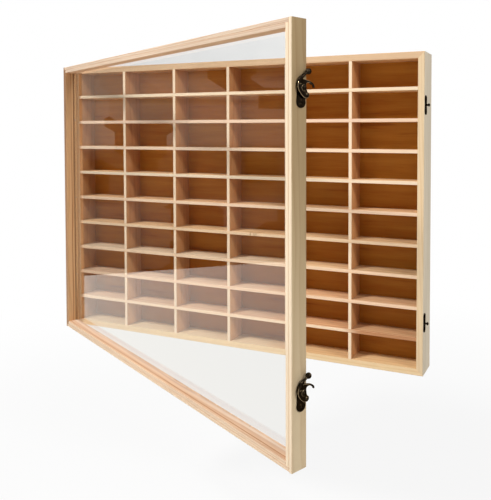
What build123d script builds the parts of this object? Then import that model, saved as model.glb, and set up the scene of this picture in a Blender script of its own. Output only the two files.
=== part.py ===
from build123d import *
import os
from math import cos, sin, radians

# Wall display case in pine: a shallow box of sixty small compartments behind a hinged, glazed door.
# The back of the case lies in the plane y = 0, which is the wall. The front looks along -Y and Z is up.
# The origin is the middle of the back. The door hangs on the left and stands ajar, as photographed.
# Millimetres and degrees.

# Case
COLUMNS = 6
ROWS = 10
CLEAR_WIDTH = 93.0          # inside one compartment, left to right
CLEAR_HEIGHT = 37.2         # inside one compartment, floor to ceiling
CLEAR_DEPTH = 34.0          # from the front edges to the back panel
BOARD = 4.8                 # thickness of shelves and dividers
PANEL = 9.0                 # thickness of the four outer panels
BACK = 6.0                  # thickness of the back panel
REBATE = 4.5                # width of the step that holds the back panel
BACK_PLAY = 0.15            # gap around the back panel in its step
SLOT_PLAY = 0.05            # gap on each side of a board in a halving slot
EASE = 0.6                  # small bevel on the outer front edges
BOARD_EASE = 0.3            # sanded front edges of shelves and dividers

# Door
RIM = 4.5                   # face width of the outer strips
DOOR_DEPTH = 18.0           # front to back of the outer strips
DOOR_GAP = 0.4              # between the closed door and the case
BEAD = 5.0                  # face width of the inner beads
BEAD_DEPTH = 13.0           # from the door's front to the pane
GROOVE = 0.4                # bevel on each side of the seam between strip and bead
PANE = 2.0                  # thickness of the clear pane
PANE_PLAY = 0.5             # gap around the pane
SLAT = 4.0                  # width of the strips behind the pane
OPEN = 24.6                 # how far the door stands open in the photograph

# Hinges, on the outer left faces
HINGE_HEIGHT = 38.0
HINGE_FROM_END = 62.0       # from the top or bottom of the case to the middle of a hinge
LEAF_REACH = 12.0           # from the seam to the free edge of a leaf
LEAF = 1.0
LEAF_CORNER = 2.0
KNUCKLE_R = 2.8
KNUCKLE_OUT = 0.2           # between the knuckles and the side of the case
KNUCKLES = 5
KNUCKLE_PLAY = 0.15         # between neighbouring knuckles
PIN_R = 1.3
PIN_PLAY = 0.06
PIN_CAP_R = 2.3
PIN_CAP = 1.0
SCREW_LINE = 8.0            # from the seam to the middle of the screw row
SCREW_STAGGER = 1.2
SCREW_PITCH = 13.0

# Swing latches, on the outer right faces
LATCH_FROM_TOP = 66.0       # from the top of the door to the upper pivot
LATCH_FROM_BOTTOM = 76.0    # from the bottom of the door to the lower pivot
PIVOT_BEFORE_SEAM = 6.0     # from the back of the door to a pivot
STUD_BEHIND_FRONT = 3.0     # from the front of the case to a catch stud
STUD_BELOW_PIVOT = 4.8
PLATE = 1.2                 # thickness of the latch and catch plates
LATCH_PLATE_WIDTH = 10.8
LATCH_PLATE_CENTRE = 7.0    # from the back of the door to the middle of the plate
LATCH_PLATE_UP = 8.5        # plate above the pivot
LATCH_PLATE_DOWN = 18.8     # plate below the pivot
PLATE_WAIST = 0.5           # how far the sides of a plate draw in
CATCH_PLATE_WIDTH = 9.0
CATCH_PLATE_HEIGHT = 25.6
CATCH_PLATE_CENTRE = 5.1    # from the front of the case to the middle of the plate
PLATE_SCREW_FROM_END = 3.6
HOOK_THICK = 2.4
HOOK_LIFT = 0.3             # gap between plate and hook
RIVET_R = 1.5
RIVET_PLAY = 0.06
RIVET_HEAD_R = 2.6
RIVET_HEAD = 1.4
RIVET_FREE = 0.15           # between the hook and the rivet's head
BOSS_R = 3.1
BOSS = 0.3                  # how far the ring round the rivet stands out of the hook
STUD_R = 1.3
STUD_PLAY = 0.3             # between stud and hook all round
STUD_FREE = 1.0             # between the hook and the stud's head
STUD_HEAD_R = 2.4
STUD_HEAD = 1.8
CLAW = 1.35                 # width of the claw at its tip
CLAW_WRAP = 5.0             # how far the claw's tip reaches past the stud, as an angle at the pivot
LOBE_R = 3.0
LOBE_ARM = 7.5              # from the pivot to the middle of the lobe
LOBE_ANGLE = -72.0          # from the way to the stud to the way to the lobe
LOBE_DOME_R = 2.3
LOBE_DOME = 0.9
BALL_R = 3.0
BALL_ARM = 16.4             # from the pivot to the ball at the end of the horn
BALL_ANGLE = 62.0
UPPER_RAISED = 11.0         # angle of the upper hook's mouth above level, as photographed
LOWER_RAISED = 10.0

# Screws and brads
SCREW_R = 1.1
SCREW_HEAD_R = 1.9
SCREW_HEAD = 0.9
SCREW_DOME = 0.8            # raised head of the lower screw of each latch plate
SCREW_LENGTH = 8.0
SCREW_PLAY = 0.05
BRAD_R = 0.6
BRAD_LENGTH = 16.0
BRAD_HEAD_R = 1.3
BRAD_HEAD = 0.5
PIN_BRAD_R = 0.45
PIN_BRAD_LENGTH = 6.5

# Hanger plates, let in flush at the back
HANGER_FROM_SIDE = 100.0
HANGER_FROM_TOP = 40.0
HANGER_WIDTH = 16.0
HANGER_HEIGHT = 44.0
HANGER = 1.5
HANGER_HOLE_R = 4.5
HANGER_SLOT_R = 2.3
HANGER_SLOT = 12.0          # from the round hole to the end of the slot
HANGER_POCKET = 3.4         # room behind the plate for the head of a wall screw
HANGER_POCKET_PLAY = 1.0
HANGER_SCREW_LENGTH = 5.2
HANGER_SCREW_PITCH = 35.0

WIDTH = COLUMNS * CLEAR_WIDTH + (COLUMNS - 1) * BOARD + 2 * PANEL
HEIGHT = ROWS * CLEAR_HEIGHT + (ROWS - 1) * BOARD + 2 * PANEL
DEPTH = CLEAR_DEPTH + BACK
RIGHT = WIDTH / 2
LEFT = -RIGHT
TOP = HEIGHT / 2
BOTTOM = -TOP
FRONT = -DEPTH
INNER_RIGHT = RIGHT - PANEL
INNER_TOP = TOP - PANEL
MIDDLE = FRONT + CLEAR_DEPTH / 2
DOOR_BACK = FRONT - DOOR_GAP
DOOR_FRONT = DOOR_BACK - DOOR_DEPTH
SEAM = FRONT - DOOR_GAP / 2
HINGE_X = LEFT - KNUCKLE_R - KNUCKLE_OUT
HINGE_AXIS = Axis((HINGE_X, SEAM, 0), (0, 0, 1))
HINGE_HEIGHTS = {"upper": TOP - HINGE_FROM_END, "lower": BOTTOM + HINGE_FROM_END}
PIVOT_Y = DOOR_BACK - PIVOT_BEFORE_SEAM
PIVOT_HEIGHTS = {"upper": TOP - LATCH_FROM_TOP, "lower": BOTTOM + LATCH_FROM_BOTTOM}
RAISED = {"upper": UPPER_RAISED, "lower": LOWER_RAISED}
STUD_Y = FRONT + STUD_BEHIND_FRONT
STUD_ARM = ((STUD_Y - PIVOT_Y) ** 2 + STUD_BELOW_PIVOT ** 2) ** 0.5

os.makedirs("parts", exist_ok=True)
pieces = {}


def block(x, y, z):
    """A box between two values on each axis."""
    size = [abs(b - a) for a, b in (x, y, z)]
    return Pos(*[(a + b) / 2 for a, b in (x, y, z)]) * Box(*size)


def rod(radius, start, end):
    """A round bar between two points."""
    line = Vector(*end) - Vector(*start)
    return Plane(origin=start, z_dir=line) * standing(radius, line.length)


def standing(radius, height):
    """A round bar that stands on the plane z = 0."""
    return Cylinder(radius, height, align=(Align.CENTER, Align.CENTER, Align.MIN))


def board_from_front(points, thick):
    """A board cut to an outline seen from the front, reaching back from the plane of the outline."""
    return extrude(make_face(Polyline(*points, close=True)), amount=thick, dir=(0, 1, 0))


def looking(origin, outward):
    """A frame on a face: its Z points out of the face."""
    return Plane(origin=origin, z_dir=outward)


def screw(radius, length, head_r, head, play=0.0, raised=0.0):
    """A countersunk wood screw that points along -Z from its head; with play it is the hole for one."""
    side = Polyline(
        (0, 0),
        (head_r + play, 0),
        (radius + play, -head),
        (radius + play, -length + 2 * radius),
        (0, -length - play),
        close=True,
    )
    body = revolve(Plane.XZ * make_face(side), Axis.Z)
    if raised:
        body += dome(head_r, raised)
    if play == 0.0:
        body -= Pos(0, 0, raised) * Box(2.4 * head_r, 0.5, 0.9 * head)
    return body


def brad(radius, length, head_r, head, play=0.0):
    """A headed brad that points along -Z; with play it is the hole for one."""
    side = Polyline(
        (0, 0),
        (head_r + play, 0),
        (head_r + play, -head),
        (radius + play, -head),
        (radius + play, -length + 2 * radius),
        (0, -length - play),
        close=True,
    )
    return revolve(Plane.XZ * make_face(side), Axis.Z)


def dome(radius, height):
    """A low round head that stands on the plane z = 0."""
    arc = ThreePointArc((0, height), (radius * 0.72, height * 0.72), (radius, 0))
    half = make_face([Line((0, 0), (0, height)), arc, Line((radius, 0), (0, 0))])
    return revolve(Plane.XZ * half, Axis.Z)


def swing(shape):
    """From the closed door to the door as photographed; a list becomes one group of loose solids."""
    if isinstance(shape, list):
        return Compound(children=[swing(one) for one in shape])
    return shape.rotate(HINGE_AXIS, -OPEN)


# Outer panels of the case, mitred at the corners, with a step at the back for the back panel
outer = [(LEFT, TOP), (RIGHT, TOP), (RIGHT, BOTTOM), (LEFT, BOTTOM)]
inner = [
    (-INNER_RIGHT, INNER_TOP),
    (INNER_RIGHT, INNER_TOP),
    (INNER_RIGHT, -INNER_TOP),
    (-INNER_RIGHT, -INNER_TOP),
]
back_step = block(
    (-INNER_RIGHT - REBATE, INNER_RIGHT + REBATE), (-BACK, 1), (-INNER_TOP - REBATE, INNER_TOP + REBATE)
)
for number, side in enumerate(["top", "right", "bottom", "left"]):
    following = (number + 1) % 4
    corners = [outer[number], outer[following], inner[following], inner[number]]
    panel = board_from_front([(x, FRONT, z) for x, z in corners], DEPTH)
    along = Axis.X if side in ("top", "bottom") else Axis.Z
    across = Axis.Z if side in ("top", "bottom") else Axis.X
    far = -1 if side in ("top", "right") else 0
    front_edges = panel.edges().filter_by(along).group_by(Axis.Y)[0]
    panel = chamfer(front_edges.sort_by(across)[far], EASE)
    pieces["case_" + side + "_panel"] = panel - back_step

# Back panel
back_panel = block(
    (-INNER_RIGHT - REBATE + BACK_PLAY, INNER_RIGHT + REBATE - BACK_PLAY),
    (-BACK, 0),
    (-INNER_TOP - REBATE + BACK_PLAY, INNER_TOP + REBATE - BACK_PLAY),
)

# Shelves and dividers halve into each other: shelves are slotted from the back, dividers from the front
shelf_heights = [INNER_TOP - (n + 1) * CLEAR_HEIGHT - n * BOARD - BOARD / 2 for n in range(ROWS - 1)]
divider_places = [-INNER_RIGHT + (n + 1) * CLEAR_WIDTH + n * BOARD + BOARD / 2 for n in range(COLUMNS - 1)]
slot = BOARD / 2 + SLOT_PLAY
for number, z in enumerate(shelf_heights):
    shelf = block((-INNER_RIGHT, INNER_RIGHT), (FRONT, -BACK), (z - BOARD / 2, z + BOARD / 2))
    shelf = chamfer(shelf.edges().filter_by(Axis.X).group_by(Axis.Y)[0], BOARD_EASE)
    for x in divider_places:
        shelf -= block((x - slot, x + slot), (MIDDLE, 1 - BACK), (z - BOARD, z + BOARD))
    pieces["shelf_%d" % (number + 1)] = shelf
for number, x in enumerate(divider_places):
    divider = block((x - BOARD / 2, x + BOARD / 2), (FRONT, -BACK), (-INNER_TOP, INNER_TOP))
    divider = chamfer(divider.edges().filter_by(Axis.Z).group_by(Axis.Y)[0], BOARD_EASE)
    for z in shelf_heights:
        divider -= block((x - BOARD, x + BOARD), (FRONT - 1, MIDDLE), (z - slot, z + slot))
    pieces["divider_%d" % (number + 1)] = divider

# Brads hold the back panel to the step
ledge_x = INNER_RIGHT + REBATE / 2
ledge_z = INNER_TOP + REBATE / 2
brad_places = [(x * RIGHT, z) for x in (-0.84, -0.28, 0.28, 0.84) for z in (-ledge_z, ledge_z)]
brad_places += [(x, z * TOP) for x in (-ledge_x, ledge_x) for z in (-0.62, 0.0, 0.62)]
brads = []
for x, z in brad_places:
    at = looking((x, 0, z), (0, 1, 0))
    brads.append(at * brad(BRAD_R, BRAD_LENGTH, BRAD_HEAD_R, BRAD_HEAD))
    hole = at * brad(BRAD_R, BRAD_LENGTH, BRAD_HEAD_R, BRAD_HEAD, SCREW_PLAY)
    back_panel -= hole
    near = {
        "top": z > INNER_TOP,
        "bottom": z < -INNER_TOP,
        "left": x < -INNER_RIGHT,
        "right": x > INNER_RIGHT,
    }
    for side in near:
        if near[side]:
            pieces["case_" + side + "_panel"] -= hole
pieces["back_panel_brads"] = Compound(children=brads)

# Keyhole hanger plates: the wall screw's head goes in at the round hole and up the slot
hanger_screws = []
for side, x in (("left", LEFT + HANGER_FROM_SIDE), ("right", RIGHT - HANGER_FROM_SIDE)):
    z = TOP - HANGER_FROM_TOP
    at = looking((x, 0, z), (0, 1, 0))
    up = Plane(origin=(x, 0, z), x_dir=(0, 0, 1), z_dir=(0, 1, 0))
    outline = SlotOverall(HANGER_HEIGHT, HANGER_WIDTH)
    plate = extrude(outline, -HANGER)
    entry = Pos(-HANGER_SLOT / 2, 0) * Circle(HANGER_HOLE_R)
    neck = Rectangle(HANGER_SLOT, 2 * HANGER_SLOT_R) + Pos(HANGER_SLOT / 2, 0) * Circle(HANGER_SLOT_R)
    plate -= extrude(entry + neck, -2 * HANGER)
    room_r = HANGER_HOLE_R + HANGER_POCKET_PLAY
    room = SlotOverall(HANGER_SLOT + 2 * room_r, 2 * room_r)
    pocket = extrude(offset(outline, BACK_PLAY), -HANGER) + extrude(room, -HANGER - HANGER_POCKET)
    back_panel -= up * pocket
    for end in (-1, 1):
        place = up * Pos(end * HANGER_SCREW_PITCH / 2, 0, 0)
        hanger_screws.append(place * screw(SCREW_R, HANGER_SCREW_LENGTH, SCREW_HEAD_R, SCREW_HEAD))
        hole = screw(SCREW_R, HANGER_SCREW_LENGTH, SCREW_HEAD_R, SCREW_HEAD, SCREW_PLAY)
        plate -= Pos(end * HANGER_SCREW_PITCH / 2, 0, 0) * hole
        back_panel -= place * hole
    pieces["hanger_plate_" + side] = up * plate
pieces["hanger_screws"] = Compound(children=hanger_screws)
pieces["back_panel"] = back_panel

# Door, drawn closed: four outer strips, stiles over the full height and rails between them
door_y = (DOOR_FRONT, DOOR_BACK)
door = {}
door["door_hinge_stile"] = block((LEFT, LEFT + RIM), door_y, (BOTTOM, TOP))
door["door_latch_stile"] = block((RIGHT - RIM, RIGHT), door_y, (BOTTOM, TOP))
door["door_top_rail"] = block((LEFT + RIM, RIGHT - RIM), door_y, (TOP - RIM, TOP))
door["door_bottom_rail"] = block((LEFT + RIM, RIGHT - RIM), door_y, (BOTTOM, BOTTOM + RIM))
for name, along, across, far in (
    ("door_hinge_stile", Axis.Z, Axis.X, 0),
    ("door_latch_stile", Axis.Z, Axis.X, -1),
    ("door_top_rail", Axis.X, Axis.Z, -1),
    ("door_bottom_rail", Axis.X, Axis.Z, 0),
):
    edges = door[name].edges().filter_by(along).group_by(Axis.Y)[0].sort_by(across)
    door[name] = chamfer(edges[far], EASE)
    seam_edge = door[name].edges().filter_by(along).group_by(Axis.Y)[0].sort_by(across)[-1 - far]
    door[name] = chamfer(seam_edge, GROOVE)

# Beads in front of the pane, the pane, and slats behind it
bead_y = (DOOR_FRONT, DOOR_FRONT + BEAD_DEPTH)
pane_y = (bead_y[1], bead_y[1] + PANE)
slat_y = (pane_y[1], DOOR_BACK)
hole_x = (LEFT + RIM, RIGHT - RIM)
hole_z = (BOTTOM + RIM, TOP - RIM)
for name, deep, wide in (("bead", bead_y, BEAD), ("slat", slat_y, SLAT)):
    between = (hole_x[0] + wide, hole_x[1] - wide)
    strips = {
        "hinge_side": block((hole_x[0], hole_x[0] + wide), deep, hole_z),
        "latch_side": block((hole_x[1] - wide, hole_x[1]), deep, hole_z),
        "top": block(between, deep, (hole_z[1] - wide, hole_z[1])),
        "bottom": block(between, deep, (hole_z[0], hole_z[0] + wide)),
    }
    for side, strip in strips.items():
        if name == "bead":
            along = Axis.X if side in ("top", "bottom") else Axis.Z
            strip = chamfer(strip.edges().filter_by(along).group_by(Axis.Y)[0], GROOVE)
        door["pane_" + name + "_" + side] = strip
door["pane"] = block(
    (hole_x[0] + PANE_PLAY, hole_x[1] - PANE_PLAY), pane_y, (hole_z[0] + PANE_PLAY, hole_z[1] - PANE_PLAY)
)

# Small brads pin each slat to the strip outside it
slat_mid = (slat_y[0] + slat_y[1]) / 2
slat_brads = []
level_places = [(x * RIGHT, 0) for x in (-0.7, -0.25, 0.25, 0.7)]
upright_places = [(0, z * TOP) for z in (-0.6, 0.0, 0.6)]
for name, rim, start, outward, places in (
    ("top", "door_top_rail", hole_z[1] - SLAT, (0, 0, -1), level_places),
    ("bottom", "door_bottom_rail", hole_z[0] + SLAT, (0, 0, 1), level_places),
    ("hinge_side", "door_hinge_stile", hole_x[0] + SLAT, (1, 0, 0), upright_places),
    ("latch_side", "door_latch_stile", hole_x[1] - SLAT, (-1, 0, 0), upright_places),
):
    for x, z in places:
        spot = (x, slat_mid, start) if outward[0] == 0 else (start, slat_mid, z)
        at = looking(spot, outward)
        slat_brads.append(at * brad(PIN_BRAD_R, PIN_BRAD_LENGTH, 2 * PIN_BRAD_R, PIN_BRAD_R))
        hole = at * brad(PIN_BRAD_R, PIN_BRAD_LENGTH, 2 * PIN_BRAD_R, PIN_BRAD_R, SCREW_PLAY)
        door["pane_slat_" + name] -= hole
        door[rim] -= hole
door["pane_slat_brads"] = slat_brads

# Hinges: the leaves lie flat on the left faces, and their knuckles take turns on one pin
knuckle_step = HINGE_HEIGHT / KNUCKLES
case_screws = []
door_screws = []
for level, z in HINGE_HEIGHTS.items():
    leaves = {}
    foot = z - HINGE_HEIGHT / 2
    head = z + HINGE_HEIGHT / 2
    for owner, toward in (("case", 1), ("door", -1)):
        plate = block((LEFT - LEAF, LEFT), (SEAM, SEAM + toward * LEAF_REACH), (foot, head))
        free_corners = plate.edges().filter_by(Axis.X).group_by(Axis.Y)[-1 if toward > 0 else 0]
        plate = fillet(free_corners, LEAF_CORNER)
        start = 0 if owner == "case" else 1
        for n in range(KNUCKLES):
            low = foot + n * knuckle_step
            high = low + knuckle_step
            if n % 2 == start:
                low = max(foot, low + KNUCKLE_PLAY / 2) if n else foot
                high = high - KNUCKLE_PLAY / 2 if n < KNUCKLES - 1 else head
                plate += rod(KNUCKLE_R, (HINGE_X, SEAM, low), (HINGE_X, SEAM, high))
            else:
                low -= KNUCKLE_PLAY / 2
                high += KNUCKLE_PLAY / 2
                plate -= rod(KNUCKLE_R + 2 * KNUCKLE_PLAY, (HINGE_X, SEAM, low), (HINGE_X, SEAM, high))
        bore_ends = (z - HINGE_HEIGHT, z + HINGE_HEIGHT)
        plate -= rod(PIN_R + PIN_PLAY, (HINGE_X, SEAM, bore_ends[0]), (HINGE_X, SEAM, bore_ends[1]))
        for n, shift in ((-1, 1), (0, -1), (1, 1)):
            y = SEAM + toward * (SCREW_LINE + shift * SCREW_STAGGER)
            at = looking((LEFT - LEAF, y, z + n * SCREW_PITCH), (-1, 0, 0))
            fastener = at * screw(SCREW_R, SCREW_LENGTH, SCREW_HEAD_R, SCREW_HEAD)
            hole = at * screw(SCREW_R, SCREW_LENGTH, SCREW_HEAD_R, SCREW_HEAD, SCREW_PLAY)
            plate -= hole
            if owner == "case":
                case_screws.append(fastener)
                pieces["case_left_panel"] -= hole
            else:
                door_screws.append(fastener)
                door["door_hinge_stile"] -= hole
                door["pane_bead_hinge_side"] -= hole
        leaves[owner] = plate
    pieces["hinge_case_leaf_" + level] = leaves["case"]
    door["hinge_door_leaf_" + level] = leaves["door"]
    pin = rod(PIN_R, (HINGE_X, SEAM, foot), (HINGE_X, SEAM, head))
    cap = standing(PIN_CAP_R, PIN_CAP)
    cap = chamfer(cap.edges().sort_by(Axis.Z)[-1], PIN_CAP / 2)
    pin += looking((HINGE_X, SEAM, head), (0, 0, 1)) * cap
    pin += looking((HINGE_X, SEAM, foot), (0, 0, -1)) * cap
    pieces["hinge_pin_" + level] = pin
pieces["hinge_case_screws"] = Compound(children=case_screws)
door["hinge_door_screws"] = door_screws


def plate_outline(width, up, down):
    """A latch plate with rounded ends, drawn in at the waist, around the origin."""
    half = width / 2
    mid = (up - down) / 2
    right = [Spline((half, up - half), (half - PLATE_WAIST, mid), (half, -down + half))]
    left = [Spline((-half, -down + half), (-half + PLATE_WAIST, mid), (-half, up - half))]
    ends = [
        ThreePointArc((half, -down + half), (0, -down), (-half, -down + half)),
        ThreePointArc((-half, up - half), (0, up), (half, up - half)),
    ]
    return make_face(right + left + ends)


def polar(radius, angle):
    """A point on the hook, seen from outside: angle 0 is the way to the catch stud when it is latched."""
    return (radius * cos(radians(angle)), radius * sin(radians(angle)))


def hook():
    """The swing hook: a claw that drops over the stud, a crescent body round the rivet with a domed lobe
    below, and a horn that ends in a ball. The inside of the claw's tip follows the stud's circle."""
    mouth = STUD_R + STUD_PLAY
    tip = STUD_ARM + mouth
    seat = Vector(STUD_ARM, 0)
    lobe = Vector(*polar(LOBE_ARM, LOBE_ANGLE))
    outline = [
        Spline(polar(5.4, 41), polar(7.5, 33), polar(9.3, 21), seat + Vector(*polar(mouth, 95))),
        ThreePointArc(seat + Vector(*polar(mouth, 95)), seat + Vector(*polar(mouth, 45)), (tip, 0)),
        ThreePointArc((tip, 0), polar(tip, -CLAW_WRAP / 2), polar(tip, -CLAW_WRAP)),
        ThreePointArc(
            polar(tip, -CLAW_WRAP), polar(tip + CLAW / 2, -1.5 * CLAW_WRAP), polar(tip + CLAW, -CLAW_WRAP)
        ),
        Spline(
            polar(tip + CLAW, -CLAW_WRAP), polar(tip + CLAW * 0.9, 3), polar(12.0, 16), polar(10.3, 30),
            polar(8.9, 47), polar(8.3, 68), polar(8.4, 92), polar(8.6, 118), polar(7.9, 146), polar(7.0, 175),
            polar(6.5, 200), polar(7.0, 232), polar(9.0, 262), lobe + Vector(*polar(LOBE_R, -120)),
        ),
        ThreePointArc(*[lobe + Vector(*polar(LOBE_R, angle)) for angle in (-120, -15, 62)]),
        Spline(lobe + Vector(*polar(LOBE_R, 62)), polar(3.5, -22), polar(3.4, 12), polar(5.4, 41)),
    ]
    body = extrude(make_face(outline), HOOK_THICK)
    spine = Spline(
        Vector(*polar(5.4, 130), HOOK_THICK * 0.5),
        Vector(*polar(8.4, 107), HOOK_THICK * 0.6),
        Vector(*polar(11.4, 86), HOOK_THICK),
        Vector(*polar(BALL_ARM, BALL_ANGLE), BALL_R + 0.1),
    )
    stations = (0.0, 0.2, 0.4, 0.6, 0.8, 1.0)
    radii = (2.2, 2.1, 1.9, 1.6, 1.25, 1.0)
    body += loft([Plane(origin=spine @ s, z_dir=spine % s) * Circle(r) for s, r in zip(stations, radii)])
    body += Pos(*(spine @ 1.0)) * Sphere(BALL_R)
    body += Pos(lobe.X, lobe.Y, HOOK_THICK) * dome(LOBE_DOME_R, LOBE_DOME)
    body += standing(BOSS_R, HOOK_THICK + BOSS)
    body -= Pos(0, 0, -HOOK_THICK) * Box(6 * STUD_ARM, 6 * STUD_ARM, 2 * HOOK_THICK)
    return body - Cylinder(RIVET_R + RIVET_PLAY, 6 * HOOK_THICK)


# Latches on the door and catches on the case
latch_screws = []
catch_screws = []
catch_studs = []
rivets = []
hooks = {}
plate_screw = screw(SCREW_R, SCREW_LENGTH, SCREW_HEAD_R, SCREW_HEAD)
plate_screw_raised = screw(SCREW_R, SCREW_LENGTH, SCREW_HEAD_R, SCREW_HEAD, raised=SCREW_DOME)
plate_screw_hole = screw(SCREW_R, SCREW_LENGTH, SCREW_HEAD_R, SCREW_HEAD, SCREW_PLAY)
for level, z in PIVOT_HEIGHTS.items():
    face = Plane(origin=(RIGHT, PIVOT_Y, z), x_dir=(0, 1, 0), z_dir=(1, 0, 0))
    shift = PIVOT_BEFORE_SEAM - LATCH_PLATE_CENTRE
    plate = Pos(shift, 0) * extrude(plate_outline(LATCH_PLATE_WIDTH, LATCH_PLATE_UP, LATCH_PLATE_DOWN), PLATE)
    plate -= Cylinder(RIVET_R, 4 * PLATE)
    upper_place = Pos(shift, LATCH_PLATE_UP - PLATE_SCREW_FROM_END + 0.8, PLATE)
    lower_place = Pos(shift, PLATE_SCREW_FROM_END - LATCH_PLATE_DOWN, PLATE)
    for place, fastener in ((upper_place, plate_screw), (lower_place, plate_screw_raised)):
        plate -= place * plate_screw_hole
        latch_screws.append(face * place * fastener)
        door["door_latch_stile"] -= face * place * plate_screw_hole
        door["pane_bead_latch_side"] -= face * place * plate_screw_hole
    door["latch_plate_" + level] = face * plate
    base = PLATE + HOOK_LIFT
    rivet_neck = base + HOOK_THICK + BOSS + RIVET_FREE
    rivet = standing(RIVET_R, rivet_neck)
    rivet += Pos(0, 0, rivet_neck) * dome(RIVET_HEAD_R, RIVET_HEAD)
    rivet += Pos(0, 0, PLATE) * standing(RIVET_R + 1.0, HOOK_LIFT - 0.1)
    rivets.append(face * rivet)
    hooks[level] = swing(face * Pos(0, 0, base) * Rot(0, 0, RAISED[level]) * hook())

    stud_face = Plane(origin=(RIGHT, STUD_Y, z - STUD_BELOW_PIVOT), x_dir=(0, 1, 0), z_dir=(1, 0, 0))
    shift = CATCH_PLATE_CENTRE - STUD_BEHIND_FRONT
    half = CATCH_PLATE_HEIGHT / 2
    catch = Pos(shift, 0) * extrude(plate_outline(CATCH_PLATE_WIDTH, half, half), PLATE)
    catch -= Cylinder(STUD_R, 4 * PLATE)
    for end in (-1, 1):
        place = Pos(shift, end * (half - PLATE_SCREW_FROM_END), PLATE)
        catch -= place * plate_screw_hole
        catch_screws.append(stud_face * place * plate_screw)
        pieces["case_right_panel"] -= stud_face * place * plate_screw_hole
    pieces["catch_plate_" + level] = stud_face * catch
    stud_neck = base + HOOK_THICK + STUD_FREE
    stud = standing(STUD_R, stud_neck) + Pos(0, 0, stud_neck) * dome(STUD_HEAD_R, STUD_HEAD)
    catch_studs.append(stud_face * stud)
pieces["catch_studs"] = Compound(children=catch_studs)
pieces["catch_screws"] = Compound(children=catch_screws)
door["latch_rivets"] = rivets
door["latch_screws"] = latch_screws

for name, shape in door.items():
    pieces[name] = swing(shape)
for level, shape in hooks.items():
    pieces["latch_hook_" + level] = shape

for name, shape in pieces.items():
    export_step(shape, "parts/%s.step" % name)
print(len(pieces), "pieces; case", WIDTH, "x", HEIGHT, "x", DEPTH)
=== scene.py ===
# %% [markdown]
# # A glazed wall case with sixty small compartments
#
# The case is a shallow pine box, filled with a lattice of thin shelves and dividers.
# A framed pane hangs on its left side and stands ajar, and two swing hooks close it on the right.
# The solids come ready made, each board and screw by itself, so this lesson is about looks:
# light, wood, glass and metal, and the two cast hooks, which are shaped again with soft edges.
# All sizes are in metres.

import math
from collections import namedtuple

import bmesh
import bpy
import numpy as np
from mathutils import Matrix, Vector


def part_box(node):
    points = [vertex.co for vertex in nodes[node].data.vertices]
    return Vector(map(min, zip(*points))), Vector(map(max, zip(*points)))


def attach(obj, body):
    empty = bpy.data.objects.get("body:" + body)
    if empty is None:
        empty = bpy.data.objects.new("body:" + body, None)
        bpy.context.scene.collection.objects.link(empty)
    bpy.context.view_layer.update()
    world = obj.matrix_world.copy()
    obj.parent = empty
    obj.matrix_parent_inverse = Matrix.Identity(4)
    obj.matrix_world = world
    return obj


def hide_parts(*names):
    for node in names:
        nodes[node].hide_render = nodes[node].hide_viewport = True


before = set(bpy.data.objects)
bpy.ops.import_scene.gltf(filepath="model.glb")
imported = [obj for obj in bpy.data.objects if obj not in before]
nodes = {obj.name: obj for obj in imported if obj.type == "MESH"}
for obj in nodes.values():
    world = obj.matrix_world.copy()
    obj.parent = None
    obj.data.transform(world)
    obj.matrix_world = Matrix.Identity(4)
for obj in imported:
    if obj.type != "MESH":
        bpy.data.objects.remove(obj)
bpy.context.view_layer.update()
scene = bpy.context.scene

# %% [markdown]
# ## The camera
#
# The photographer stood to the right of the case and a little above its middle, and the picture was cut out
# of a larger one. The cut shows as a lens shift: upright edges stay upright, although the middle of the view
# lies low and to the left. A camera could also be tilted at the case, but then its upright edges would lean
# together. A large shift has a price too, because it moves the case aside when it is looked at from
# elsewhere. So the camera turns a little further to the left, and the shift does the rest.

# %% Camera
IMAGE_WIDTH = 491               # in pixels, as are the next two
IMAGE_HEIGHT = 500
LENS_AXIS_AT = (340.5, 152.6)   # where the middle of the uncut picture would be, from the top left
CAMERA_AT = (0.4822, -0.8023, 0.1071)
CAMERA_TURN = (88.2016, -0.1195, 21.5509)   # in degrees
FOCAL_LENGTH = 42.336           # in millimetres, for a picture whose longer side is LONG_SIDE
LONG_SIDE = 36.0
NEAREST = 0.01

camera_data = bpy.data.cameras.new("camera")
camera_data.sensor_width = LONG_SIDE
camera_data.lens = FOCAL_LENGTH
camera_data.shift_x = (IMAGE_WIDTH / 2 - LENS_AXIS_AT[0]) / IMAGE_HEIGHT
camera_data.shift_y = (LENS_AXIS_AT[1] - IMAGE_HEIGHT / 2) / IMAGE_HEIGHT
camera_data.clip_start = NEAREST
camera = bpy.data.objects.new("camera", camera_data)
camera.location = CAMERA_AT
camera.rotation_euler = [math.radians(angle) for angle in CAMERA_TURN]
scene.collection.objects.link(camera)
scene.camera = camera
scene.view_settings.view_transform = "Standard"
print("shift", round(camera_data.shift_x, 4), round(camera_data.shift_y, 4))

# %% [markdown]
# ## Daylight from the front left, and a bright room
#
# The shadows tell where the lamps stood. Each shelf shades the back third of the one below it, and each
# divider throws a slanting shadow to the right: a strong soft lamp hangs high at the front left. The sides of
# the dividers that look right have a second, weaker patch of light, from a lamp far out to the right.
# The rest is the room. It could be one more lamp, but a pale world lights every side evenly, as white
# walls do.


# %% Lamps
PART_MIDDLE = Vector((0.0, -0.12, 0.0))


def soft_lamp(name, travels, distance, size, strength):
    """A square lamp whose light travels along a direction. Strength 1 lights a white surface to white.

    A lamp of P watts gives P / (pi d d) watts per square metre at distance d, and white needs pi of them.
    """
    direction = Vector(travels).normalized()
    lamp = bpy.data.lights.new(name, "AREA")
    lamp.shape = "SQUARE"
    lamp.size = size
    lamp.energy = strength * (math.pi * distance) ** 2
    holder = bpy.data.objects.new(name, lamp)
    holder.location = PART_MIDDLE - direction * distance
    holder.rotation_euler = direction.to_track_quat("-Z", "Y").to_euler()
    scene.collection.objects.link(holder)


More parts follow.
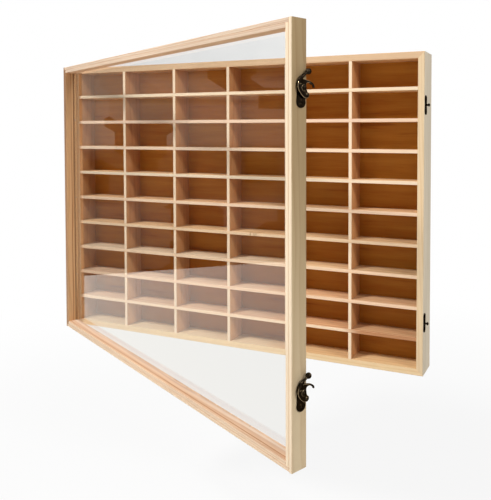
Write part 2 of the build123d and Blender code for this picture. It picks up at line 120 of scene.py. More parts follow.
soft_lamp("lamp_front_left", travels=(0.72, 1.0, -1.35), distance=2.6, size=0.42, strength=0.89)
soft_lamp("lamp_far_right", travels=(-3.0, 1.0, -1.55), distance=2.8, size=0.40, strength=0.33)

# %% [markdown]
# ## Small helpers for node trees
#
# A material is a little tree of nodes, and so is the world. Nodes could be added and linked one by one, line
# after line. These helpers add one node each and link its inputs, where an input is either a number or the
# output of an earlier node. That keeps the recipes further down short enough to read as recipes.


# %% Node helpers
def feed(tree, socket, value):
    """Links an output to the socket, or sets a plain number or colour on it."""
    if isinstance(value, bpy.types.NodeSocket):
        tree.links.new(value, socket)
    else:
        socket.default_value = value


def calc(tree, operation, *values, clamp=False):
    """One math node: operation(values)."""
    node = tree.nodes.new("ShaderNodeMath")
    node.operation = operation
    node.use_clamp = clamp
    for socket, value in zip(node.inputs, values):
        feed(tree, socket, value)
    return node.outputs[0]


def bare_tree(owner):
    """The empty node tree of a material or world."""
    owner.use_nodes = True
    owner.node_tree.nodes.clear()
    return owner.node_tree


def show(tree, surface, output="ShaderNodeOutputMaterial"):
    """Sends a finished surface to the output of its tree."""
    tree.links.new(surface, tree.nodes.new(output).inputs["Surface"])


def two_way(tree, factor, first, second):
    """The surface of the first shader where factor is 0, and of the second where it is 1."""
    mix = tree.nodes.new("ShaderNodeMixShader")
    feed(tree, mix.inputs[0], factor)
    tree.links.new(first.outputs[0], mix.inputs[1])
    tree.links.new(second.outputs[0], mix.inputs[2])
    return mix.outputs[0]


def shining(tree, kind, colour, strength):
    """A shader that shines by itself: a Background in a world, an Emission on a surface."""
    node = tree.nodes.new(kind)
    feed(tree, node.inputs["Color"], colour)
    feed(tree, node.inputs["Strength"], strength)
    return node


print("node helpers ready")

# %% [markdown]
# ## A white background that doesn't add light
#
# The background is pure white. If the world were that bright, the case would be washed out. The Light Path
# node knows what a ray is for: rays from the camera, and those that metal and glass send on, get a white
# world, and all others get the dimmer room that lights the wood. Clear glass takes a little off what is seen
# through it, so those rays get slightly less than white.


# %% World
WHITE = (1.0, 1.0, 1.0, 1.0)
ROOM_LIGHT = 0.26
WORLD_THROUGH_GLASS = 0.93


def mirrored_once(tree):
    """1 for a ray that a mirror has turned back, and 0 for all others.

    A ray that goes straight through glass is marked as glossy too, but its count of glossy bounces stays 0.
    So the glossy mark is multiplied by 1 where that count is over a half.
    """
    path = tree.nodes.new("ShaderNodeLightPath")
    turned = calc(tree, "GREATER_THAN", path.outputs["Glossy Depth"], 0.5)
    return calc(tree, "MULTIPLY", path.outputs["Is Glossy Ray"], turned)


def through_glass(tree):
    """1 for a ray that has gone straight through glass."""
    path = tree.nodes.new("ShaderNodeLightPath")
    straight = calc(tree, "SUBTRACT", 1.0, mirrored_once(tree))
    return calc(tree, "MULTIPLY", path.outputs["Is Transmission Ray"], straight)


def seen_directly(tree, camera_rays=1.0, glass_rays=1.0):
    """The share of white that a ray gets: all for a mirrored ray, and none for one that carries light."""
    path = tree.nodes.new("ShaderNodeLightPath")
    seen = calc(tree, "MULTIPLY", path.outputs["Is Camera Ray"], camera_rays)
    through = calc(tree, "MULTIPLY", through_glass(tree), glass_rays)
    return calc(tree, "MAXIMUM", calc(tree, "MAXIMUM", seen, mirrored_once(tree)), through)


world = bpy.data.worlds.new("room")
scene.world = world
world_tree = bare_tree(world)
room = shining(world_tree, "ShaderNodeBackground", WHITE, ROOM_LIGHT)
white = shining(world_tree, "ShaderNodeBackground", WHITE, 1.0)
white_share = seen_directly(world_tree, glass_rays=WORLD_THROUGH_GLASS)
show(world_tree, two_way(world_tree, white_share, room, white), "ShaderNodeOutputWorld")
print("room light", ROOM_LIGHT)

# %% [markdown]
# ## Helpers for places and colours
#
# A finish mostly depends on where a point lies, so the next helpers reckon with places, turn a distance into
# a smooth step, and blend two colours. A sharp step would draw a hard line where a real finish fades.


# %% Place and colour helpers
def vector_calc(tree, operation, *vectors):
    """One vector math node. It gives a number for a length, a distance or a dot product, or else a vector."""
    node = tree.nodes.new("ShaderNodeVectorMath")
    node.operation = operation
    for socket, vector in zip(node.inputs, vectors):
        feed(tree, socket, vector)
    return node.outputs["Value" if operation in ("LENGTH", "DISTANCE", "DOT_PRODUCT") else "Vector"]


def object_place(tree):
    """Where on the object a point lies."""
    return tree.nodes.new("ShaderNodeTexCoord").outputs["Object"]


def ease(tree, value, low, high, to_low=0.0, to_high=1.0):
    """A smooth step: value low gives to_low, value high gives to_high."""
    node = tree.nodes.new("ShaderNodeMapRange")
    node.interpolation_type = "SMOOTHSTEP"
    feed(tree, node.inputs["Value"], value)
    for name, number in (("From Min", low), ("From Max", high), ("To Min", to_low), ("To Max", to_high)):
        node.inputs[name].default_value = number
    return node.outputs["Result"]


def blend(tree, factor, first, second, how="MIX"):
    """A colour between first (factor 0) and second (factor 1). MULTIPLY tints the first with the second.

    The node has sockets for numbers and vectors too. Its colours go in at 6 and 7 and come out at 2.
    """
    node = tree.nodes.new("ShaderNodeMix")
    node.data_type = "RGBA"
    node.blend_type = how
    feed(tree, node.inputs["Factor"], factor)
    feed(tree, node.inputs[6], first)
    feed(tree, node.inputs[7], second)
    return node.outputs[2]


print("place and colour helpers ready")

# %% [markdown]
# ## The floor
#
# The pane is seen at a slant, so it mirrors the room to the left. In its lower third it mirrors the floor,
# which lies over the compartments as a pale veil. A plain white floor would show a grey edge against the
# white background. So the floor is a pale matt grey, which takes the soft shadow under the case, and a
# white glow lies over it: for the most part near the case, and fully further out. Seen through the pane it
# glows somewhat less.

# %% Floor
FLOOR_Z = -0.56
FLOOR_END_X = 4.0
FLOOR_DEEP = 4.0
WALL_X = -2.20
MATT_FLOOR = (0.86, 0.86, 0.85, 1.0)
MIRRORED_FLOOR = (1.0, 0.95, 0.86, 1.0)
# Each of these holds a near distance, a far distance and the values at the two
GLOW_SHARE = (0.5, 1.6, 0.88, 1.0)
DIMMED_BY_PANE = (1.3, 3.4, -0.15, -0.055)


def sheet(name, corners):
    """A flat stage piece from its four corners."""
    mesh = bpy.data.meshes.new(name)
    mesh.from_pydata(corners, [], [(0, 1, 2, 3)])
    piece = bpy.data.objects.new(name, mesh)
    scene.collection.objects.link(piece)
    return piece


floor = sheet(
    "floor",
    [
        (WALL_X, -FLOOR_DEEP, FLOOR_Z),
        (FLOOR_END_X, -FLOOR_DEEP, FLOOR_Z),
        (FLOOR_END_X, FLOOR_DEEP, FLOOR_Z),
        (WALL_X, FLOOR_DEEP, FLOOR_Z),
    ],
)
floor_paint = bpy.data.materials.new("floor_white")
floor_tree = bare_tree(floor_paint)
matt = floor_tree.nodes.new("ShaderNodeBsdfDiffuse")
matt.inputs["Color"].default_value = MATT_FLOOR
away = vector_calc(floor_tree, "DISTANCE", object_place(floor_tree), (0.0, 0.0, FLOOR_Z))
glow_colour = blend(floor_tree, mirrored_once(floor_tree), WHITE, MIRRORED_FLOOR)
dimmer = ease(floor_tree, away, *DIMMED_BY_PANE)
glow_strength = calc(floor_tree, "MULTIPLY_ADD", through_glass(floor_tree), dimmer, 1.0)
glow = shining(floor_tree, "ShaderNodeEmission", glow_colour, glow_strength)
glow_share = seen_directly(floor_tree, camera_rays=ease(floor_tree, away, *GLOW_SHARE))
show(floor_tree, two_way(floor_tree, glow_share, matt, glow))
floor.data.materials.append(floor_paint)
print("floor at", FLOOR_Z)

# %% [markdown]
# ## The wall that only the pane mirrors
#
# Above the floor the pane mirrors the darker end of the room, so the veil ends in a level line across the
# glass. A whole furnished room would be much work for a faint reflection. One wall out of the picture does.
# It is a glowing sheet, not a lamp: its level bands of painted light and shade stand for shelves and window
# sills, and the pane shows them as a painted reflection. Only mirrored rays meet that wall, and it takes no
# light from the case.

# %% Mirrored wall
WALL_TOP = 3.0
WALL_BANDS = [  # height and brightness
    (-0.47, 0.10), (-0.44, 0.14), (-0.24, 0.16), (-0.20, 0.06), (0.02, 0.05), (0.06, 0.34),
    (0.25, 0.34), (0.27, 0.12), (0.29, 0.40), (0.36, 0.36), (0.42, 0.09), (WALL_TOP, 0.09),
]


def parts_of(tree, vector):
    """The three parts of a vector."""
    node = tree.nodes.new("ShaderNodeSeparateXYZ")
    feed(tree, node.inputs[0], vector)
    return node.outputs


wall = sheet(
    "mirrored_wall",
    [
        (WALL_X, -FLOOR_DEEP, FLOOR_Z),
        (WALL_X, FLOOR_DEEP, FLOOR_Z),
        (WALL_X, FLOOR_DEEP, WALL_TOP),
        (WALL_X, -FLOOR_DEEP, WALL_TOP),
    ],
)
for kind in ("camera", "diffuse", "volume_scatter", "shadow"):
    setattr(wall, "visible_" + kind, False)
wall_paint = bpy.data.materials.new("glowing_reflection_wall")
wall_tree = bare_tree(wall_paint)
place = object_place(wall_tree)

bands = wall_tree.nodes.new("ShaderNodeValToRGB")
stops = bands.color_ramp.elements
while len(stops) < len(WALL_BANDS):
    stops.new(0.5)      # the next loop moves it to its place
for stop, (band_height, shine) in zip(stops, WALL_BANDS):
    stop.position = (band_height - FLOOR_Z) / (WALL_TOP - FLOOR_Z)
    stop.color = (shine, shine, shine, 1.0)
above_floor = calc(wall_tree, "SUBTRACT", parts_of(wall_tree, place)[2], FLOOR_Z)
wall_tree.links.new(calc(wall_tree, "DIVIDE", above_floor, WALL_TOP - FLOOR_Z), bands.inputs["Fac"])
print("wall at", WALL_X, "with", len(WALL_BANDS), "band edges")

# %% [markdown]
# ### Dark boxes in the painted reflection
#
# Dark boxes of painted shade on the glowing wall stand for furniture. Where the pane mirrors them, parts of
# the compartments show clearly through it. A Voronoi pattern that is measured with square distances falls
# into boxes of random size, and the colour that it draws for each box sets how bright the box is.

# %% Painted reflection boxes on the wall
WALL_TONE = (1.0, 0.82, 0.64, 1.0)
BOXES_PER_M = 4.2
BOX_STRETCH = (1.0, 0.8, 1.3)
BOX_DISORDER = 0.75
BOX_BRIGHTNESS = (0.22, 0.50, 0.18, 1.12)   # a low and a high draw, and the factors at the two


def spread(tree, vector, factors):
    """The vector with each part times a factor, which packs a pattern tighter where the factor is large."""
    return vector_calc(tree, "MULTIPLY", vector, factors)


box_pattern = wall_tree.nodes.new("ShaderNodeTexVoronoi")
box_pattern.distance = "CHEBYCHEV"
box_pattern.inputs["Scale"].default_value = BOXES_PER_M
box_pattern.inputs["Randomness"].default_value = BOX_DISORDER
wall_tree.links.new(spread(wall_tree, place, BOX_STRETCH), box_pattern.inputs["Vector"])
draws = wall_tree.nodes.new("ShaderNodeSeparateColor")
wall_tree.links.new(box_pattern.outputs["Color"], draws.inputs[0])
box_factor = ease(wall_tree, draws.outputs[0], *BOX_BRIGHTNESS)

# The wall's glow is painted light and shade, seen only as the pane's reflection.
wall_strength = calc(wall_tree, "MULTIPLY", bands.outputs[0], box_factor)
wall_glow = shining(wall_tree, "ShaderNodeEmission", WALL_TONE, wall_strength)
absent = wall_tree.nodes.new("ShaderNodeBsdfTransparent")
show(wall_tree, two_way(wall_tree, mirrored_once(wall_tree), absent, wall_glow))
wall.data.materials.append(wall_paint)
print("furniture with", BOXES_PER_M, "boxes per metre")

# %% [markdown]
# ## Pine: a board out of a log
#
# A board is a slice of a log. Its grain is no flat picture: dark late wood and pale early wood form rings
# round the middle of the log, and each face of the board cuts through them. A picture of wood would be
# quicker but would break at each corner. So everything is measured from the middle of the board, first along
# its grain, and the faces and the edges then agree of themselves.

# %% Boards
OPEN_ANGLE = math.radians(24.6)
FRONT_OF_CASE = (0.0, -1.0, 0.0)
FRONT_OF_DOOR = (-math.sin(OPEN_ANGLE), -math.cos(OPEN_ANGLE), 0.0)
SAME_WAY = (0.55, 0.85)         # cosines at which a face starts to count, and counts fully
ALONG = 0                       # the three directions of a board
FRONT_TO_BACK = 1
ACROSS = 2


def board_frame(tree, along, middle, on_door):
    """A point as seen from the middle of its board: along the grain, from the front to the back, and
    across both. A board on the door is first turned back by the angle at which the door stands open."""
    coords = tree.nodes.new("ShaderNodeTexCoord")
    mapping = tree.nodes.new("ShaderNodeMapping")
    mapping.vector_type = "TEXTURE"
    mapping.inputs["Location"].default_value = middle
    mapping.inputs["Rotation"].default_value = (0.0, 0.0, -OPEN_ANGLE if on_door else 0.0)
    tree.links.new(coords.outputs["Object"], mapping.inputs["Vector"])
    parts = parts_of(tree, mapping.outputs[0])
    together = tree.nodes.new("ShaderNodeCombineXYZ")
    order = {"X": (0, 1, 2), "Z": (2, 1, 0)}[along]
    for target, source in enumerate(order):
        tree.links.new(parts[source], together.inputs[target])
    return together.outputs[0], coords.outputs["Normal"]


def facing(tree, normal, direction):
    """1 on faces that look in the direction, 0 on all others. The dot product of the two directions is the
    cosine of the angle between them."""
    return ease(tree, vector_calc(tree, "DOT_PRODUCT", normal, direction), *SAME_WAY)


print("door turned by", round(math.degrees(OPEN_ANGLE), 1), "degrees")

# %% [markdown]
# ### Growth rings
#
# At every point the recipe measures how far it is from the middle of a leaning log, and draws a ring every
# few millimetres. Evenly spaced lines would do for a drawing, but a real log is never quite round, so a slow
# noise pushes the rings in and out. Every board gets a log of its own, drawn by lot.

# %% Growth rings
WOBBLE_PER_M = (2.6, 13.0, 13.0)    # how tightly the noise is packed, first along the grain
WOBBLE_HEIGHT = 0.016
LOG_BESIDE = 0.035                  # how far the middle of the log lies to the side, at most
LOG_BELOW = (0.03, 0.06)            # and how far below or above the board
EARLY_WOOD_CURVE = 2.6
RING_DROPS_AT = 0.90
WEAKEST_RING = 0.3
FAR_APART = 9                       # how far from its board the wobble noise may start


def cloud(tree, vector, scale=1.0, detail=2.0, roughness=0.5):
    """Soft noise between 0 and 1 over the vector, with a mean of about a half."""
    node = tree.nodes.new("ShaderNodeTexNoise")
    feed(tree, node.inputs["Vector"], vector)
    node.inputs["Scale"].default_value = scale
    node.inputs["Detail"].default_value = detail
    node.inputs["Roughness"].default_value = roughness
    return node.outputs["Fac"]


def growth_rings(tree, board, luck, ring, lean):
    """Late wood, 0 to 1.

    The radius is the distance from the leaning middle of the log, the square root of the two squares added,
    plus a slow wobble. Divided by the ring width it gives a whole number of rings and a part of the next one.
    That part, raised to a power, rises slowly through the early wood and drops at the ring's end. The whole
    number draws how strong the ring is.
    """
    log_middle = (luck.uniform(-LOG_BESIDE, LOG_BESIDE), luck.choice([-1, 1]) * luck.uniform(*LOG_BELOW))
    length, across, through = parts_of(tree, board)
    leaning = [
        calc(tree, "MULTIPLY_ADD", length, luck.uniform(-lean, lean), calc(tree, "SUBTRACT", part, shift))
        for part, shift in zip((across, through), log_middle)
    ]
    squares = [calc(tree, "MULTIPLY", part, part) for part in leaning]
    radius = calc(tree, "SQRT", calc(tree, "ADD", *squares))
    start = tuple(luck.uniform(-FAR_APART, FAR_APART, 3))
    moved = vector_calc(tree, "ADD", spread(tree, board, WOBBLE_PER_M), start)
    wobble = cloud(tree, moved, detail=2.5)
    rings = calc(tree, "DIVIDE", calc(tree, "MULTIPLY_ADD", wobble, WOBBLE_HEIGHT, radius), ring)
    part = calc(tree, "FRACT", rings)
    rise = calc(tree, "POWER", part, EARLY_WOOD_CURVE)
    fall = ease(tree, part, RING_DROPS_AT, 1.0, to_low=1.0, to_high=0.0)
    draw = tree.nodes.new("ShaderNodeTexWhiteNoise")
    draw.noise_dimensions = "1D"
    tree.links.new(calc(tree, "FLOOR", rings), draw.inputs["W"])
    strength = calc(tree, "MULTIPLY_ADD", draw.outputs["Value"], 1.0 - WEAKEST_RING, WEAKEST_RING)
    return calc(tree, "MULTIPLY", calc(tree, "MULTIPLY", rise, fall), strength)


print("logs lie", LOG_BELOW, "from their boards")

# %% [markdown]
# ## Marks on one board
#
# Real boards also have marks that are theirs alone: a knot with lines running out from it, one dark line
# along the board where a ring comes close to the face, and ends that are browner, paler or duller than the
# rest. They could be painted by hand on a picture, but a measured place is simpler to move. A tint is a
# colour that multiplies the wood from one place of the board to another.

# %% Knots, seams and tints
KNOT_TONE = (0.46, 0.34, 0.25, 1.0)
KNOT_SHAPE = (1.0, 1.3, 0.5)
KNOT_LINES = 6.0
KNOT_LINE_NOISE = (0.5, 0.62)           # the noise at which a line starts to show, and shows fully
KNOT_EYE = (0.001, 0.003)               # where the eye starts to fade and where it ends, from its middle
KNOT_REACH = (0.002, 0.024)             # the same for the lines round the eye
SEAM_EDGE = (0.0002, 0.0009)            # and for a seam
SEAM_STRENGTH = (0.2, 0.5, 0.6, 1.0)    # a low and a high streak noise, and how strong the seam is at the two
Tint = namedtuple("Tint", "colour direction start full on_front")


def knot_mark(tree, board, knot):
    """The small dark eye of a branch and the lines that run out from it.

    Each line is a noise over the angle about the eye, so it keeps its tone on the way out. The angle is the
    arc tangent of the two distances, and the lines fade with the length from the eye.
    """
    out = vector_calc(tree, "SUBTRACT", board, knot)
    parts = parts_of(tree, out)
    sideways = calc(tree, "MULTIPLY", parts[FRONT_TO_BACK], KNOT_SHAPE[FRONT_TO_BACK])
    angle = calc(tree, "ARCTAN2", sideways, parts[ALONG])
    size = vector_calc(tree, "LENGTH", spread(tree, out, KNOT_SHAPE))
    lines = tree.nodes.new("ShaderNodeTexNoise")
    lines.noise_dimensions = "1D"
    lines.inputs["Scale"].default_value = KNOT_LINES
    tree.links.new(angle, lines.inputs["W"])
    near = ease(tree, size, *KNOT_REACH, to_low=1.0, to_high=0.0)
    eye = ease(tree, size, *KNOT_EYE, to_low=1.0, to_high=0.0)
    stripes = calc(tree, "MULTIPLY", near, ease(tree, lines.outputs["Fac"], *KNOT_LINE_NOISE))
    return calc(tree, "MAXIMUM", eye, stripes)


def seam_line(tree, board, streak, depth):
    """One dark line along the board at a depth, about a millimetre wide, fainter where the wood is pale."""
    beside = calc(tree, "ABSOLUTE", calc(tree, "SUBTRACT", parts_of(tree, board)[FRONT_TO_BACK], depth))
    line = ease(tree, beside, *SEAM_EDGE, to_low=1.0, to_high=0.0)
    return calc(tree, "MULTIPLY", line, ease(tree, streak, *SEAM_STRENGTH))


def tinted(tree, tone, board, front, tint):
    """The tone, multiplied by the tint's colour from its start on, on the front or on all other faces."""
    faces = front if tint.on_front else calc(tree, "SUBTRACT", 1.0, front)
    amount = ease(tree, parts_of(tree, board)[tint.direction], tint.start, tint.full)
    return blend(tree, calc(tree, "MULTIPLY", amount, faces), tone, tint.colour, "MULTIPLY")


print("marks ready, a tint holds", ", ".join(Tint._fields))

# %% [markdown]
# ## Pine: the whole finish
#
# Over the rings lie streaks, short fibres and a slow change from place to place, each a noise that is drawn
# out along the grain. The sanded front edges are paler than the wood inside the compartments, so a board has
# two pairs of tones. The lacquer is thin and satin: it mirrors little, and the grain still stands up in it.

# %% Pine
FIBRE_PER_M = (26.0, 950.0, 950.0)
STREAK_PER_M = (5.0, 170.0, 170.0)
BROAD_PER_M = (3.2, 16.0, 16.0)
STREAKS_SHOW = 0.55
FIBRES_SHOW = 0.30
BROAD_SHADE = (0.25, 0.75, 0.90, 1.04)  # a low and a high noise, and the shade at the two
EARLY_ROUGHNESS = 0.50
FIBRE_ROUGHNESS = 0.22                  # comes on top where fibres stand up
LATE_ROUGHNESS = -0.10                  # comes off where late wood is smooth
FIBRES_RISE = 0.6
RINGS_RISE = 0.5
LACQUER_MIRROR = 0.16
PINE_BUMP = 0.00012


def stir(tree, base, noise, strength, clamp=False):
    """Base plus strength times (noise minus a half), so that the mean stays where it was."""
    return calc(tree, "MULTIPLY_ADD", calc(tree, "SUBTRACT", noise, 0.5), strength, base, clamp=clamp)


def principled(name):
    """A new material with one Principled shader; returns the material, its tree and the shader."""
    material = bpy.data.materials.new(name)
    tree = bare_tree(material)
    shader = tree.nodes.new("ShaderNodeBsdfPrincipled")
    show(tree, shader.outputs[0])
    return material, tree, shader


def bumps(tree, shader, height, distance):
    """Raises the surface in the light by height times distance, in metres."""
    node = tree.nodes.new("ShaderNodeBump")
    node.inputs["Distance"].default_value = distance
    feed(tree, node.inputs["Height"], height)
    tree.links.new(node.outputs["Normal"], shader.inputs["Normal"])


def pine(name, along, middle, early, late, front_early, front_late, seed, on_door=False,
         ring=0.0034, lean=0.02, figure=0.85, knot=None, seam=None, tints=()):
    """Pine for one board. Early and late are the two wood tones of its sides, then those of its front.
    Figure is how strongly its rings show. A knot is a place on the board, and a seam a depth."""
    luck = np.random.RandomState(seed)
    material, tree, shader = principled(name)
    board, normal = board_frame(tree, along, middle, on_door)
    rings = growth_rings(tree, board, luck, ring, lean)
    front = facing(tree, normal, FRONT_OF_DOOR if on_door else FRONT_OF_CASE)
    fibre = cloud(tree, spread(tree, board, FIBRE_PER_M), roughness=0.6)
    streak = cloud(tree, spread(tree, board, STREAK_PER_M))
    broad = cloud(tree, spread(tree, board, BROAD_PER_M), detail=1.0)

    dark = stir(tree, calc(tree, "MULTIPLY", rings, figure), streak, STREAKS_SHOW)
    dark = stir(tree, dark, fibre, FIBRES_SHOW, clamp=True)
    if seam is not None:
        dark = calc(tree, "ADD", dark, seam_line(tree, board, streak, seam), clamp=True)
    tone = blend(tree, dark, blend(tree, front, early, front_early), blend(tree, front, late, front_late))
    for tint in tints:
        tone = tinted(tree, tone, board, front, tint)
    if knot:
        tone = blend(tree, knot_mark(tree, board, knot), tone, KNOT_TONE, "MULTIPLY")
    shade = ease(tree, broad, *BROAD_SHADE)
    grey = tree.nodes.new("ShaderNodeCombineColor")
    for socket in grey.inputs[:3]:
        tree.links.new(shade, socket)
    tree.links.new(blend(tree, 1.0, tone, grey.outputs[0], "MULTIPLY"), shader.inputs["Base Color"])

    rough = calc(tree, "MULTIPLY_ADD", fibre, FIBRE_ROUGHNESS, EARLY_ROUGHNESS)
    tree.links.new(calc(tree, "MULTIPLY_ADD", rings, LATE_ROUGHNESS, rough), shader.inputs["Roughness"])
    shader.inputs["Specular IOR Level"].default_value = LACQUER_MIRROR
    grain = calc(tree, "MULTIPLY_ADD", fibre, FIBRES_RISE, calc(tree, "MULTIPLY", rings, RINGS_RISE))
    bumps(tree, shader, grain, PINE_BUMP)
    return material


print("pine recipe ready")

# %% [markdown]
# ## Shelves
#
# No two boards of a real case have the same tone: some shelves are pinker, some paler. A small list of tones
# and a number for the log are all that differs from board to board. The three lowest shelves are paler at the
# left, as painted light from the lamp on that side, and duller at the right end, and the lowest one is brown
# at its front right corner. One has a knot.
# Colours are given as a screen shows them and worked out as light, because shaders reckon with light: half as
# bright on a screen is about a fifth of the light.


# %% Dress the shelves
def srgb(red, green, blue):
    """A colour as seen on a screen, 0 to 255, turned into light from 0 to 1.

    A dark part, up to 0.04045 of the range, is divided by 12.92. For all others, 0.055 is added, the sum is
    divided by 1.055, and the result is raised to the power 2.4.
    """
    parts = np.array([red, green, blue]) / 255.0
    light = np.where(parts <= 0.04045, parts / 12.92, ((parts + 0.055) / 1.055) ** 2.4)
    return (*light.tolist(), 1.0)


def dress(names, material):
    """Puts the material on solids, in place of what they came with."""
    for name in names:
        nodes[name].data.materials.clear()
        nodes[name].data.materials.append(material)


def middle_of(name):
    """The middle of a solid: half of its low corner plus its high corner."""
    low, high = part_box(name)
    return tuple((low[axis] + high[axis]) / 2 for axis in range(3))


def dress_board(name, along, tones, **looks):
    """Gives a board pine of its own."""
    dress([name], pine("pine_" + name, along, middle_of(name), *tones, **looks))


SHELF_TONES = [  # early and late wood, then early and late wood of the front edge
    (srgb(230, 190, 141), srgb(196, 146, 94), srgb(247, 224, 192), srgb(237, 197, 159)),
    (srgb(228, 185, 138), srgb(193, 140, 89), srgb(244, 211, 182), srgb(233, 183, 150)),
    (srgb(232, 190, 144), srgb(196, 144, 94), srgb(247, 218, 188), srgb(237, 193, 157)),
    (srgb(234, 195, 147), srgb(201, 148, 95), srgb(247, 224, 194), srgb(237, 199, 161)),
    (srgb(230, 188, 143), srgb(196, 144, 95), srgb(246, 213, 180), srgb(231, 186, 150)),
    (srgb(232, 195, 149), srgb(195, 142, 94), srgb(240, 207, 169), srgb(223, 174, 131)),
    (srgb(236, 199, 154), srgb(203, 153, 102), srgb(245, 212, 177), srgb(231, 183, 142)),
    (srgb(233, 188, 144), srgb(201, 142, 98), srgb(243, 208, 174), srgb(227, 176, 138)),
    (srgb(228, 181, 135), srgb(196, 132, 88), srgb(247, 218, 184), srgb(233, 188, 146)),
]
# Painted light: the low shelves and the bottom panel are paler at the left.
PAINTED_LIGHT_LEFT = Tint((0.94, 1.08, 1.34, 1.0), ALONG, 0.13, 0.04, on_front=False)
DULL_RIGHT = Tint((0.80, 0.80, 0.80, 1.0), ALONG, 0.17, 0.21, on_front=False)
BROWN_END = Tint((0.56, 0.36, 0.25, 1.0), ALONG, 0.18, 0.215, on_front=True)
LOW_SHELF = [PAINTED_LIGHT_LEFT, DULL_RIGHT]
SHELF_TINTS = {7: LOW_SHELF, 8: LOW_SHELF, 9: LOW_SHELF + [BROWN_END]}
SHELF_KNOTS = {6: (0.045, -0.0155, -0.002)}
SHELF_SEED = 10         # with a board's number added, this draws its log

for number, tones in enumerate(SHELF_TONES, 1):
    marks = {"knot": SHELF_KNOTS.get(number), "tints": SHELF_TINTS.get(number, ())}
    dress_board("shelf_%d" % number, "X", tones, seed=SHELF_SEED + number, **marks)
print(len(SHELF_TONES), "shelves dressed")

# %% [markdown]
# ## Dividers
#
# The dividers stand upright, so their grain runs up. Their sides are browner than the shelves, because
# each stands in its neighbour's shade and was sanded only at the front. All but the right one are paler at
# the foot. They could have a recipe of their own, but the one for the shelves serves as well, with other
# tones and narrower rings.

# %% Dress the dividers
DIVIDERS = 5
DIVIDER_SEED = 30
DIVIDER_RING = 0.0030
DIVIDER_TONES = (srgb(206, 150, 100), srgb(176, 114, 66), srgb(249, 224, 192), srgb(238, 202, 168))
PALE_FOOT = Tint((1.22, 1.34, 1.46, 1.0), ALONG, -0.06, -0.14, on_front=False)

for number in range(1, DIVIDERS + 1):
    marks = {"ring": DIVIDER_RING, "tints": [PALE_FOOT] if number < DIVIDERS else ()}
    dress_board("divider_%d" % number, "Z", DIVIDER_TONES, seed=DIVIDER_SEED + number, **marks)
print(DIVIDERS, "dividers dressed")

# %% [markdown]
# ## Outer panels
#
# The four outer panels are thicker boards from wider logs, so their rings are broader. The right one is
# nearly white outside, and the top and left ones are warmer. One wood could do for all four, but boards of
# different trees meet at the mitres, and the change of tone there makes the joints show.

# %% Dress the outer panels
PANEL_TONES = {
    "top": (srgb(214, 168, 120), srgb(184, 130, 82), srgb(222, 187, 149), srgb(204, 158, 118)),
    "bottom": (srgb(232, 194, 144), srgb(204, 156, 104), srgb(236, 206, 162), srgb(220, 180, 130)),
    "left": (srgb(206, 152, 102), srgb(180, 120, 72), srgb(240, 212, 174), srgb(226, 186, 144)),
    "right": (srgb(225, 211, 188), srgb(206, 188, 158), srgb(232, 205, 166), srgb(216, 180, 136)),
}
PANEL_SEEDS = {"top": 53, "bottom": 56, "left": 54, "right": 55}
PANEL_RING = 0.0042

for side, tones in PANEL_TONES.items():
    along = "X" if side in ("top", "bottom") else "Z"
    # The bottom panel is paler at the left as painted light, like the low shelves.
    marks = {"tints": [PAINTED_LIGHT_LEFT] if side == "bottom" else ()}
    dress_board("case_%s_panel" % side, along, tones, seed=PANEL_SEEDS[side], ring=PANEL_RING, **marks)
print(len(PANEL_TONES), "outer panels dressed")

# %% [markdown]
# ## Back panel
#
# The back of every compartment is a deep yellow-brown with soft streaks that run across. It is one thin
# sheet, peeled from the log rather than sawn, and stained, so no ring closes on it and no streak is quite
# like the next. Ring lines would look too regular here. Noise that is drawn out along the grain does better.
# It is lighter at the left end, and darker on the lower half as painted shade.

# %% Dress the back
BACK_EARLY = srgb(196, 134, 50)
BACK_LATE = srgb(166, 97, 24)
BACK_DEEP = srgb(132, 68, 13)
BACK_TINTS_AND_SHADE = [  # colour, direction, start and full
    ((1.12, 1.14, 1.16, 1.0), ALONG, 0.12, -0.10),
    # painted shade: the lower half is darker
    ((0.92, 0.86, 0.78, 1.0), ACROSS, 0.05, -0.06),
]
PEELED_CLOUDS_PER_M = (5.0, 1.0, 15.0)
PEELED_STREAKS_PER_M = (7.0, 1.0, 105.0)
PEELED_FIBRES_PER_M = (40.0, 1.0, 900.0)
CLOUDS_SHOW = 1.1
PEELED_STREAKS_SHOW = 1.5
PEELED_FIBRES_SHOW = 0.5
DEEP_NOISE = (0.60, 0.74)           # the streak noise at which the deep tone starts to show, and is fullest
DEEP_FULLEST = 0.55
PEELED_ROUGHNESS = (0.2, 0.48)      # how much the fibres add, and to what
PEELED_BUMP = 0.00008


def stained_sheet(name, middle):
    """A half, stirred by three noises that are stretched along the grain, runs from early to late wood:
    broad clouds, soft streaks and short fibres. The strongest streaks are deeper still."""
    material, tree, shader = principled(name)
    board = board_frame(tree, "X", middle, False)[0]
    clouds = cloud(tree, spread(tree, board, PEELED_CLOUDS_PER_M))
    streaks = cloud(tree, spread(tree, board, PEELED_STREAKS_PER_M), detail=3.0, roughness=0.55)
    fibres = cloud(tree, spread(tree, board, PEELED_FIBRES_PER_M), roughness=0.6)
    mixed = stir(tree, stir(tree, 0.5, streaks, PEELED_STREAKS_SHOW), clouds, CLOUDS_SHOW)
    mixed = stir(tree, mixed, fibres, PEELED_FIBRES_SHOW, clamp=True)
    deep = calc(tree, "MULTIPLY", ease(tree, streaks, *DEEP_NOISE), DEEP_FULLEST)
    tone = blend(tree, deep, blend(tree, mixed, BACK_EARLY, BACK_LATE), BACK_DEEP)
    for colour, direction, start, full in BACK_TINTS_AND_SHADE:
        amount = ease(tree, parts_of(tree, board)[direction], start, full)
        tone = blend(tree, amount, tone, colour, "MULTIPLY")
    tree.links.new(tone, shader.inputs["Base Color"])
    tree.links.new(calc(tree, "MULTIPLY_ADD", fibres, *PEELED_ROUGHNESS), shader.inputs["Roughness"])
    shader.inputs["Specular IOR Level"].default_value = LACQUER_MIRROR
    bumps(tree, shader, fibres, PEELED_BUMP)
    return material


dress(["back_panel"], stained_sheet("stained_back", middle_of("back_panel")))
print("back panel dressed")
